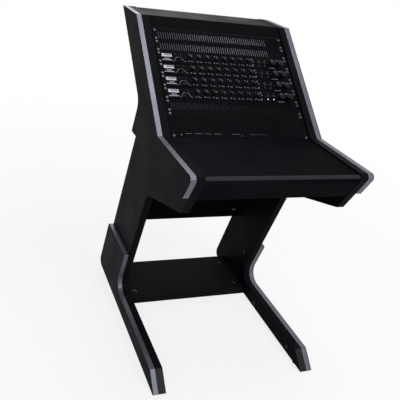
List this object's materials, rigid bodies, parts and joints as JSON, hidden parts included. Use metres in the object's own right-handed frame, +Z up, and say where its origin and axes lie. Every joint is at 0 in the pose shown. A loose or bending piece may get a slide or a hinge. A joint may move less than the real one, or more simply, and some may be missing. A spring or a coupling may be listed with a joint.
{
  "type": "studio rack sidecar",
  "caption": "Studio sidecar: Z-shaped side panels carry a desk, a sloping equipment rack with knobbed units and vent panels, a top board, a modesty panel and a floor shelf.",
  "frame": {"origin": "on the floor, midway across the width and midway between the foot bars' front tips and the top's rear edge", "axes": "+Z up, +Y to the rear, so the user sits on the -Y side, +X to the user's right"},
  "size_m": [0.5786, 0.7986, 1.023],
  "materials": {
    "black_board": "black laminate on board, low sheen",
    "desk_skin": "black laminate on board, fine grain, satin",
    "silver_lacquer": "silver-grey metallic lacquer on board",
    "rack_paint": "black powder coat, satin",
    "chassis_steel": "black-painted sheet steel",
    "rail_steel": "black-painted steel angle",
    "knob_plastic": "black moulded plastic, satin",
    "button_plastic": "black moulded plastic",
    "cam_metal": "zinc die-cast, plated",
    "glide_plastic": "black moulded foot on a threaded stem"
  },
  "bodies": {
    "sidecar": {"side_panel_left": "black_board", "side_panel_right": "black_board", "top_board": "black_board", "header_panel": "black_board", "modesty_panel": "black_board", "bottom_shelf": "black_board", "desk_top": "desk_skin", "desk_fascia": "desk_skin", "upper_cheek_left": "silver_lacquer", "upper_cheek_right": "silver_lacquer", "lower_cheek_left": "silver_lacquer", "lower_cheek_right": "silver_lacquer", "vent_panel_top": "rack_paint", "vent_panel_second": "rack_paint", "vent_panel_lower": "rack_paint", "control_panel": "rack_paint", "unit_1_faceplate": "rack_paint", "unit_2_faceplate": "rack_paint", "unit_3_faceplate": "rack_paint", "unit_4_faceplate": "rack_paint", "unit_1_chassis": "chassis_steel", "unit_2_chassis": "chassis_steel", "unit_3_chassis": "chassis_steel", "unit_4_chassis": "chassis_steel", "rack_rail_left": "rail_steel", "rack_rail_right": "rail_steel", "shelf_cam_left_front": "cam_metal", "shelf_cam_left_rear": "cam_metal", "shelf_cam_right_front": "cam_metal", "shelf_cam_right_rear": "cam_metal", "modesty_cam_left": "cam_metal", "modesty_cam_right": "cam_metal"},
    "unit_1_main_knob_left": {"unit_1_main_knob_left": "knob_plastic"},
    "unit_1_main_knob_right": {"unit_1_main_knob_right": "knob_plastic"},
    "unit_2_main_knob_left": {"unit_2_main_knob_left": "knob_plastic"},
    "unit_2_main_knob_right": {"unit_2_main_knob_right": "knob_plastic"},
    "unit_3_main_knob_left": {"unit_3_main_knob_left": "knob_plastic"},
    "unit_3_main_knob_right": {"unit_3_main_knob_right": "knob_plastic"},
    "unit_4_main_knob_left": {"unit_4_main_knob_left": "knob_plastic"},
    "unit_4_main_knob_right": {"unit_4_main_knob_right": "knob_plastic"},
    "unit_1_channel_knob_1": {"unit_1_channel_knob_1": "knob_plastic"},
    "unit_1_channel_knob_2": {"unit_1_channel_knob_2": "knob_plastic"},
    "unit_1_channel_knob_3": {"unit_1_channel_knob_3": "knob_plastic"},
    "unit_1_channel_knob_4": {"unit_1_channel_knob_4": "knob_plastic"},
    "unit_1_channel_knob_5": {"unit_1_channel_knob_5": "knob_plastic"},
    "unit_1_channel_knob_6": {"unit_1_channel_knob_6": "knob_plastic"},
    "unit_1_channel_knob_7": {"unit_1_channel_knob_7": "knob_plastic"},
    "unit_1_channel_knob_8": {"unit_1_channel_knob_8": "knob_plastic"},
    "unit_1_button_left": {"unit_1_button_left": "button_plastic"},
    "unit_1_button_right": {"unit_1_button_right": "button_plastic"},
    "unit_2_button_left": {"unit_2_button_left": "button_plastic"},
    "unit_2_button_right": {"unit_2_button_right": "button_plastic"},
    "unit_3_button_left": {"unit_3_button_left": "button_plastic"},
    "unit_3_button_right": {"unit_3_button_right": "button_plastic"},
    "unit_4_button_left": {"unit_4_button_left": "button_plastic"},
    "unit_4_button_right": {"unit_4_button_right": "button_plastic"},
    "glide_left_front": {"glide_left_front": "glide_plastic"},
    "glide_left_rear": {"glide_left_rear": "glide_plastic"},
    "glide_right_front": {"glide_right_front": "glide_plastic"},
    "glide_right_rear": {"glide_right_rear": "glide_plastic"}
  },
  "joints": [
    {"name": "unit_1_main_knob_left_turn", "type": "hinge", "parent": "sidecar", "child": "unit_1_main_knob_left", "pos_m": [0.174, 0.12284, 0.91738], "axis": [0, -0.6326, 0.7745], "range_deg": [-150, 150]},
    {"name": "unit_1_main_knob_right_turn", "type": "hinge", "parent": "sidecar", "child": "unit_1_main_knob_right", "pos_m": [0.203, 0.12284, 0.91738], "axis": [0, -0.6326, 0.7745], "range_deg": [-150, 150]},
    {"name": "unit_2_main_knob_left_turn", "type": "hinge", "parent": "sidecar", "child": "unit_2_main_knob_left", "pos_m": [0.174, 0.08842, 0.88926], "axis": [0, -0.6326, 0.7745], "range_deg": [-150, 150]},
    {"name": "unit_2_main_knob_right_turn", "type": "hinge", "parent": "sidecar", "child": "unit_2_main_knob_right", "pos_m": [0.203, 0.08842, 0.88926], "axis": [0, -0.6326, 0.7745], "range_deg": [-150, 150]},
    {"name": "unit_3_main_knob_left_turn", "type": "hinge", "parent": "sidecar", "child": "unit_3_main_knob_left", "pos_m": [0.174, 0.05399, 0.86115], "axis": [0, -0.6326, 0.7745], "range_deg": [-150, 150]},
    {"name": "unit_3_main_knob_right_turn", "type": "hinge", "parent": "sidecar", "child": "unit_3_main_knob_right", "pos_m": [0.203, 0.05399, 0.86115], "axis": [0, -0.6326, 0.7745], "range_deg": [-150, 150]},
    {"name": "unit_4_main_knob_left_turn", "type": "hinge", "parent": "sidecar", "child": "unit_4_main_knob_left", "pos_m": [0.174, 0.01956, 0.83303], "axis": [0, -0.6326, 0.7745], "range_deg": [-150, 150]},
    {"name": "unit_4_main_knob_right_turn", "type": "hinge", "parent": "sidecar", "child": "unit_4_main_knob_right", "pos_m": [0.203, 0.01956, 0.83303], "axis": [0, -0.6326, 0.7745], "range_deg": [-150, 150]},
    {"name": "unit_1_channel_knob_1_turn", "type": "hinge", "parent": "sidecar", "child": "unit_1_channel_knob_1", "pos_m": [-0.127, 0.12633, 0.92023], "axis": [0, -0.6326, 0.7745], "range_deg": [-150, 150]},
    {"name": "unit_1_channel_knob_2_turn", "type": "hinge", "parent": "sidecar", "child": "unit_1_channel_knob_2", "pos_m": [-0.0966, 0.12633, 0.92023], "axis": [0, -0.6326, 0.7745], "range_deg": [-150, 150]},
    {"name": "unit_1_channel_knob_3_turn", "type": "hinge", "parent": "sidecar", "child": "unit_1_channel_knob_3", "pos_m": [-0.0662, 0.12633, 0.92023], "axis": [0, -0.6326, 0.7745], "range_deg": [-150, 150]},
    {"name": "unit_1_channel_knob_4_turn", "type": "hinge", "parent": "sidecar", "child": "unit_1_channel_knob_4", "pos_m": [-0.0358, 0.12633, 0.92023], "axis": [0, -0.6326, 0.7745], "range_deg": [-150, 150]},
    {"name": "unit_1_channel_knob_5_turn", "type": "hinge", "parent": "sidecar", "child": "unit_1_channel_knob_5", "pos_m": [-0.0054, 0.12633, 0.92023], "axis": [0, -0.6326, 0.7745], "range_deg": [-150, 150]},
    {"name": "unit_1_channel_knob_6_turn", "type": "hinge", "parent": "sidecar", "child": "unit_1_channel_knob_6", "pos_m": [0.025, 0.12633, 0.92023], "axis": [0, -0.6326, 0.7745], "range_deg": [-150, 150]},
    {"name": "unit_1_channel_knob_7_turn", "type": "hinge", "parent": "sidecar", "child": "unit_1_channel_knob_7", "pos_m": [0.0554, 0.12633, 0.92023], "axis": [0, -0.6326, 0.7745], "range_deg": [-150, 150]},
    {"name": "unit_1_channel_knob_8_turn", "type": "hinge", "parent": "sidecar", "child": "unit_1_channel_knob_8", "pos_m": [0.0858, 0.12633, 0.92023], "axis": [0, -0.6326, 0.7745], "range_deg": [-150, 150]},
    {"name": "unit_1_button_left_press", "type": "slide", "parent": "sidecar", "child": "unit_1_button_left", "axis": [0, 0.6326, -0.7745], "range_m": [0, 0.002], "stiffness_N_per_m": 300, "springref_m": -0.0005},
    {"name": "unit_1_button_right_press", "type": "slide", "parent": "sidecar", "child": "unit_1_button_right", "axis": [0, 0.6326, -0.7745], "range_m": [0, 0.002], "stiffness_N_per_m": 300, "springref_m": -0.0005},
    {"name": "unit_2_button_left_press", "type": "slide", "parent": "sidecar", "child": "unit_2_button_left", "axis": [0, 0.6326, -0.7745], "range_m": [0, 0.002], "stiffness_N_per_m": 300, "springref_m": -0.0005},
    {"name": "unit_2_button_right_press", "type": "slide", "parent": "sidecar", "child": "unit_2_button_right", "axis": [0, 0.6326, -0.7745], "range_m": [0, 0.002], "stiffness_N_per_m": 300, "springref_m": -0.0005},
    {"name": "unit_3_button_left_press", "type": "slide", "parent": "sidecar", "child": "unit_3_button_left", "axis": [0, 0.6326, -0.7745], "range_m": [0, 0.002], "stiffness_N_per_m": 300, "springref_m": -0.0005},
    {"name": "unit_3_button_right_press", "type": "slide", "parent": "sidecar", "child": "unit_3_button_right", "axis": [0, 0.6326, -0.7745], "range_m": [0, 0.002], "stiffness_N_per_m": 300, "springref_m": -0.0005},
    {"name": "unit_4_button_left_press", "type": "slide", "parent": "sidecar", "child": "unit_4_button_left", "axis": [0, 0.6326, -0.7745], "range_m": [0, 0.002], "stiffness_N_per_m": 300, "springref_m": -0.0005},
    {"name": "unit_4_button_right_press", "type": "slide", "parent": "sidecar", "child": "unit_4_button_right", "axis": [0, 0.6326, -0.7745], "range_m": [0, 0.002], "stiffness_N_per_m": 300, "springref_m": -0.0005},
    {"name": "glide_left_front_screw", "type": "hinge", "parent": "sidecar", "child": "glide_left_front", "pos_m": [-0.2575, -0.34945, 0.006], "axis": [0, 0, 1], "continuous": true},
    {"name": "glide_left_rear_screw", "type": "hinge", "parent": "sidecar", "child": "glide_left_rear", "pos_m": [-0.2575, 0.26855, 0.006], "axis": [0, 0, 1], "continuous": true},
    {"name": "glide_right_front_screw", "type": "hinge", "parent": "sidecar", "child": "glide_right_front", "pos_m": [0.2575, -0.34945, 0.006], "axis": [0, 0, 1], "continuous": true},
    {"name": "glide_right_rear_screw", "type": "hinge", "parent": "sidecar", "child": "glide_right_rear", "pos_m": [0.2575, 0.26855, 0.006], "axis": [0, 0, 1], "continuous": true}
  ]
}
